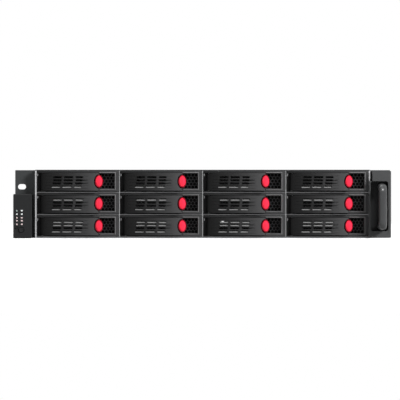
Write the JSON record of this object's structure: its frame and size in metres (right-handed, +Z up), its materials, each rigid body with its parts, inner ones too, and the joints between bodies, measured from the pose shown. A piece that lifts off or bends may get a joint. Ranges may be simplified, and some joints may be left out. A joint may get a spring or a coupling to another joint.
{
  "type": "rackmount server chassis",
  "caption": "Low wide rack chassis: drive trays with levers and red release buttons in front, ears with controls and handle, fans and pluggable power supplies inside.",
  "frame": {"origin": "bottom face, middle of the width, in the plane where the ears rest on the rack", "axes": "+X to the right seen from the front, +Y to the rear, +Z up"},
  "size_m": [0.4838, 0.7, 0.088],
  "materials": {
    "zinc_steel": "zinc coated sheet",
    "black_paint": "fine satin powder coat",
    "tray_plastic": "fine spark texture",
    "ear_plastic": "fine spark texture",
    "red_plastic": "satin",
    "grey_button": "satin",
    "board_green": "solder mask",
    "fan_plastic": "moulded satin",
    "supply_steel": "zinc coated sheet",
    "latch_green": "satin"
  },
  "bodies": {
    "chassis": {"base_pan": "zinc_steel", "front_cover": "zinc_steel", "rear_panel": "zinc_steel", "slot_covers": "zinc_steel", "drive_cage": "zinc_steel", "circuit_boards": "board_green", "fan_wall": "zinc_steel", "fan_frames": "fan_plastic", "supply_cage": "zinc_steel", "left_ear": "black_paint", "control_module": "ear_plastic", "right_ear": "black_paint", "handle_housing": "ear_plastic", "handle_grip": "ear_plastic"},
    "top_cover": {"top_cover": "zinc_steel"},
    "tray_r1c1": {"tray_r1c1": "tray_plastic"},
    "lever_r1c1": {"lever_r1c1": "tray_plastic"},
    "button_r1c1": {"button_r1c1": "red_plastic"},
    "tray_r1c2": {"tray_r1c2": "tray_plastic"},
    "lever_r1c2": {"lever_r1c2": "tray_plastic"},
    "button_r1c2": {"button_r1c2": "red_plastic"},
    "tray_r1c3": {"tray_r1c3": "tray_plastic"},
    "lever_r1c3": {"lever_r1c3": "tray_plastic"},
    "button_r1c3": {"button_r1c3": "red_plastic"},
    "tray_r1c4": {"tray_r1c4": "tray_plastic"},
    "lever_r1c4": {"lever_r1c4": "tray_plastic"},
    "button_r1c4": {"button_r1c4": "red_plastic"},
    "tray_r2c1": {"tray_r2c1": "tray_plastic"},
    "lever_r2c1": {"lever_r2c1": "tray_plastic"},
    "button_r2c1": {"button_r2c1": "red_plastic"},
    "tray_r2c2": {"tray_r2c2": "tray_plastic"},
    "lever_r2c2": {"lever_r2c2": "tray_plastic"},
    "button_r2c2": {"button_r2c2": "red_plastic"},
    "tray_r2c3": {"tray_r2c3": "tray_plastic"},
    "lever_r2c3": {"lever_r2c3": "tray_plastic"},
    "button_r2c3": {"button_r2c3": "red_plastic"},
    "tray_r2c4": {"tray_r2c4": "tray_plastic"},
    "lever_r2c4": {"lever_r2c4": "tray_plastic"},
    "button_r2c4": {"button_r2c4": "red_plastic"},
    "tray_r3c1": {"tray_r3c1": "tray_plastic"},
    "lever_r3c1": {"lever_r3c1": "tray_plastic"},
    "button_r3c1": {"button_r3c1": "red_plastic"},
    "tray_r3c2": {"tray_r3c2": "tray_plastic"},
    "lever_r3c2": {"lever_r3c2": "tray_plastic"},
    "button_r3c2": {"button_r3c2": "red_plastic"},
    "tray_r3c3": {"tray_r3c3": "tray_plastic"},
    "lever_r3c3": {"lever_r3c3": "tray_plastic"},
    "button_r3c3": {"button_r3c3": "red_plastic"},
    "tray_r3c4": {"tray_r3c4": "tray_plastic"},
    "lever_r3c4": {"lever_r3c4": "tray_plastic"},
    "button_r3c4": {"button_r3c4": "red_plastic"},
    "power_button": {"power_button": "grey_button"},
    "reset_button": {"reset_button": "grey_button"},
    "fan_rotor_1": {"fan_rotor_1": "fan_plastic"},
    "fan_rotor_2": {"fan_rotor_2": "fan_plastic"},
    "fan_rotor_3": {"fan_rotor_3": "fan_plastic"},
    "power_supply_1": {"power_supply_1": "supply_steel"},
    "supply_latch_1": {"supply_latch_1": "latch_green"},
    "power_supply_2": {"power_supply_2": "supply_steel"},
    "supply_latch_2": {"supply_latch_2": "latch_green"}
  },
  "joints": [
    {"name": "top_cover_slide", "type": "slide", "parent": "chassis", "child": "top_cover", "axis": [0, 1, 0], "range_m": [0, 0.02]},
    {"name": "tray_r1c1_slide", "type": "slide", "parent": "chassis", "child": "tray_r1c1", "axis": [0, -1, 0], "range_m": [0, 0.185]},
    {"name": "lever_r1c1_hinge", "type": "hinge", "parent": "tray_r1c1", "child": "lever_r1c1", "pos_m": [-0.20572, -0.009, 0.0732], "axis": [0, 0, -1], "range_deg": [0, 60]},
    {"name": "button_r1c1_press", "type": "slide", "parent": "tray_r1c1", "child": "button_r1c1", "axis": [0, 1, 0], "range_m": [0, 0.0025], "stiffness_N_per_m": 300},
    {"name": "tray_r1c2_slide", "type": "slide", "parent": "chassis", "child": "tray_r1c2", "axis": [0, -1, 0], "range_m": [0, 0.185]},
    {"name": "lever_r1c2_hinge", "type": "hinge", "parent": "tray_r1c2", "child": "lever_r1c2", "pos_m": [-0.09897, -0.009, 0.0732], "axis": [0, 0, -1], "range_deg": [0, 60]},
    {"name": "button_r1c2_press", "type": "slide", "parent": "tray_r1c2", "child": "button_r1c2", "axis": [0, 1, 0], "range_m": [0, 0.0025], "stiffness_N_per_m": 300},
    {"name": "tray_r1c3_slide", "type": "slide", "parent": "chassis", "child": "tray_r1c3", "axis": [0, -1, 0], "range_m": [0, 0.185]},
    {"name": "lever_r1c3_hinge", "type": "hinge", "parent": "tray_r1c3", "child": "lever_r1c3", "pos_m": [0.00777, -0.009, 0.0732], "axis": [0, 0, -1], "range_deg": [0, 60]},
    {"name": "button_r1c3_press", "type": "slide", "parent": "tray_r1c3", "child": "button_r1c3", "axis": [0, 1, 0], "range_m": [0, 0.0025], "stiffness_N_per_m": 300},
    {"name": "tray_r1c4_slide", "type": "slide", "parent": "chassis", "child": "tray_r1c4", "axis": [0, -1, 0], "range_m": [0, 0.185]},
    {"name": "lever_r1c4_hinge", "type": "hinge", "parent": "tray_r1c4", "child": "lever_r1c4", "pos_m": [0.11453, -0.009, 0.0732], "axis": [0, 0, -1], "range_deg": [0, 60]},
    {"name": "button_r1c4_press", "type": "slide", "parent": "tray_r1c4", "child": "button_r1c4", "axis": [0, 1, 0], "range_m": [0, 0.0025], "stiffness_N_per_m": 300},
    {"name": "tray_r2c1_slide", "type": "slide", "parent": "chassis", "child": "tray_r2c1", "axis": [0, -1, 0], "range_m": [0, 0.185]},
    {"name": "lever_r2c1_hinge", "type": "hinge", "parent": "tray_r2c1", "child": "lever_r2c1", "pos_m": [-0.20572, -0.009, 0.0446], "axis": [0, 0, -1], "range_deg": [0, 60]},
    {"name": "button_r2c1_press", "type": "slide", "parent": "tray_r2c1", "child": "button_r2c1", "axis": [0, 1, 0], "range_m": [0, 0.0025], "stiffness_N_per_m": 300},
    {"name": "tray_r2c2_slide", "type": "slide", "parent": "chassis", "child": "tray_r2c2", "axis": [0, -1, 0], "range_m": [0, 0.185]},
    {"name": "lever_r2c2_hinge", "type": "hinge", "parent": "tray_r2c2", "child": "lever_r2c2", "pos_m": [-0.09897, -0.009, 0.0446], "axis": [0, 0, -1], "range_deg": [0, 60]},
    {"name": "button_r2c2_press", "type": "slide", "parent": "tray_r2c2", "child": "button_r2c2", "axis": [0, 1, 0], "range_m": [0, 0.0025], "stiffness_N_per_m": 300},
    {"name": "tray_r2c3_slide", "type": "slide", "parent": "chassis", "child": "tray_r2c3", "axis": [0, -1, 0], "range_m": [0, 0.185]},
    {"name": "lever_r2c3_hinge", "type": "hinge", "parent": "tray_r2c3", "child": "lever_r2c3", "pos_m": [0.00777, -0.009, 0.0446], "axis": [0, 0, -1], "range_deg": [0, 60]},
    {"name": "button_r2c3_press", "type": "slide", "parent": "tray_r2c3", "child": "button_r2c3", "axis": [0, 1, 0], "range_m": [0, 0.0025], "stiffness_N_per_m": 300},
    {"name": "tray_r2c4_slide", "type": "slide", "parent": "chassis", "child": "tray_r2c4", "axis": [0, -1, 0], "range_m": [0, 0.185]},
    {"name": "lever_r2c4_hinge", "type": "hinge", "parent": "tray_r2c4", "child": "lever_r2c4", "pos_m": [0.11453, -0.009, 0.0446], "axis": [0, 0, -1], "range_deg": [0, 60]},
    {"name": "button_r2c4_press", "type": "slide", "parent": "tray_r2c4", "child": "button_r2c4", "axis": [0, 1, 0], "range_m": [0, 0.0025], "stiffness_N_per_m": 300},
    {"name": "tray_r3c1_slide", "type": "slide", "parent": "chassis", "child": "tray_r3c1", "axis": [0, -1, 0], "range_m": [0, 0.185]},
    {"name": "lever_r3c1_hinge", "type": "hinge", "parent": "tray_r3c1", "child": "lever_r3c1", "pos_m": [-0.20572, -0.009, 0.016], "axis": [0, 0, -1], "range_deg": [0, 60]},
    {"name": "button_r3c1_press", "type": "slide", "parent": "tray_r3c1", "child": "button_r3c1", "axis": [0, 1, 0], "range_m": [0, 0.0025], "stiffness_N_per_m": 300},
    {"name": "tray_r3c2_slide", "type": "slide", "parent": "chassis", "child": "tray_r3c2", "axis": [0, -1, 0], "range_m": [0, 0.185]},
    {"name": "lever_r3c2_hinge", "type": "hinge", "parent": "tray_r3c2", "child": "lever_r3c2", "pos_m": [-0.09897, -0.009, 0.016], "axis": [0, 0, -1], "range_deg": [0, 60]},
    {"name": "button_r3c2_press", "type": "slide", "parent": "tray_r3c2", "child": "button_r3c2", "axis": [0, 1, 0], "range_m": [0, 0.0025], "stiffness_N_per_m": 300},
    {"name": "tray_r3c3_slide", "type": "slide", "parent": "chassis", "child": "tray_r3c3", "axis": [0, -1, 0], "range_m": [0, 0.185]},
    {"name": "lever_r3c3_hinge", "type": "hinge", "parent": "tray_r3c3", "child": "lever_r3c3", "pos_m": [0.00777, -0.009, 0.016], "axis": [0, 0, -1], "range_deg": [0, 60]},
    {"name": "button_r3c3_press", "type": "slide", "parent": "tray_r3c3", "child": "button_r3c3", "axis": [0, 1, 0], "range_m": [0, 0.0025], "stiffness_N_per_m": 300},
    {"name": "tray_r3c4_slide", "type": "slide", "parent": "chassis", "child": "tray_r3c4", "axis": [0, -1, 0], "range_m": [0, 0.185]},
    {"name": "lever_r3c4_hinge", "type": "hinge", "parent": "tray_r3c4", "child": "lever_r3c4", "pos_m": [0.11453, -0.009, 0.016], "axis": [0, 0, -1], "range_deg": [0, 60]},
    {"name": "button_r3c4_press", "type": "slide", "parent": "tray_r3c4", "child": "button_r3c4", "axis": [0, 1, 0], "range_m": [0, 0.0025], "stiffness_N_per_m": 300},
    {"name": "power_button_press", "type": "slide", "parent": "chassis", "child": "power_button", "axis": [0, 1, 0], "range_m": [0, 0.0015], "stiffness_N_per_m": 300},
    {"name": "reset_button_press", "type": "slide", "parent": "chassis", "child": "reset_button", "axis": [0, 1, 0], "range_m": [0, 0.0015], "stiffness_N_per_m": 300},
    {"name": "fan_rotor_1_spin", "type": "hinge", "parent": "chassis", "child": "fan_rotor_1", "pos_m": [-0.134, 0.23, 0.042], "axis": [0, 1, 0], "continuous": true},
    {"name": "fan_rotor_2_spin", "type": "hinge", "parent": "chassis", "child": "fan_rotor_2", "pos_m": [0, 0.23, 0.042], "axis": [0, 1, 0], "continuous": true},
    {"name": "fan_rotor_3_spin", "type": "hinge", "parent": "chassis", "child": "fan_rotor_3", "pos_m": [0.134, 0.23, 0.042], "axis": [0, 1, 0], "continuous": true},
    {"name": "power_supply_1_slide", "type": "slide", "parent": "chassis", "child": "power_supply_1", "axis": [0, 1, 0], "range_m": [0, 0.19]},
    {"name": "supply_latch_1_press", "type": "slide", "parent": "power_supply_1", "child": "supply_latch_1", "axis": [-1, 0, 0], "range_m": [0, 0.0025], "stiffness_N_per_m": 400},
    {"name": "power_supply_2_slide", "type": "slide", "parent": "chassis", "child": "power_supply_2", "axis": [0, 1, 0], "range_m": [0, 0.19]},
    {"name": "supply_latch_2_press", "type": "slide", "parent": "power_supply_2", "child": "supply_latch_2", "axis": [-1, 0, 0], "range_m": [0, 0.0025], "stiffness_N_per_m": 400}
  ]
}
